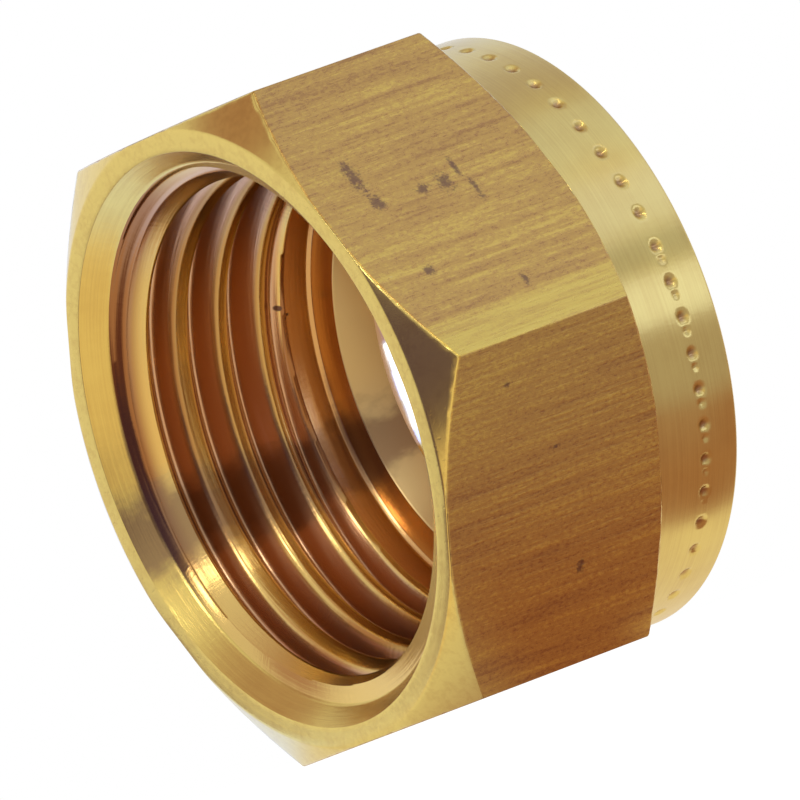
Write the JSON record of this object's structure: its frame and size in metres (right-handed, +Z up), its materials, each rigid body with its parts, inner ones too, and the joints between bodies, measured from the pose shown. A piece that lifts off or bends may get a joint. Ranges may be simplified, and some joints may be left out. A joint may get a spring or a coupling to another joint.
{
  "type": "compression nut",
  "caption": "Brass hexagon nut with a round collar and a stepped, threaded bore, which clamps an olive and a tube on a fitting.",
  "frame": {"origin": "middle of the underside, on the flat of the hexagon that the nut lies on", "axes": "+Y along the nut's axis from the threaded mouth to the collar where the tube leaves, +Z up, +X to the side, through two corners of the hexagon"},
  "size_m": [0.0278, 0.0138, 0.024],
  "materials": {
    "brass": "turned, bright"
  },
  "bodies": {
    "root": {"compression_nut": "brass"}
  },
  "joints": []
}
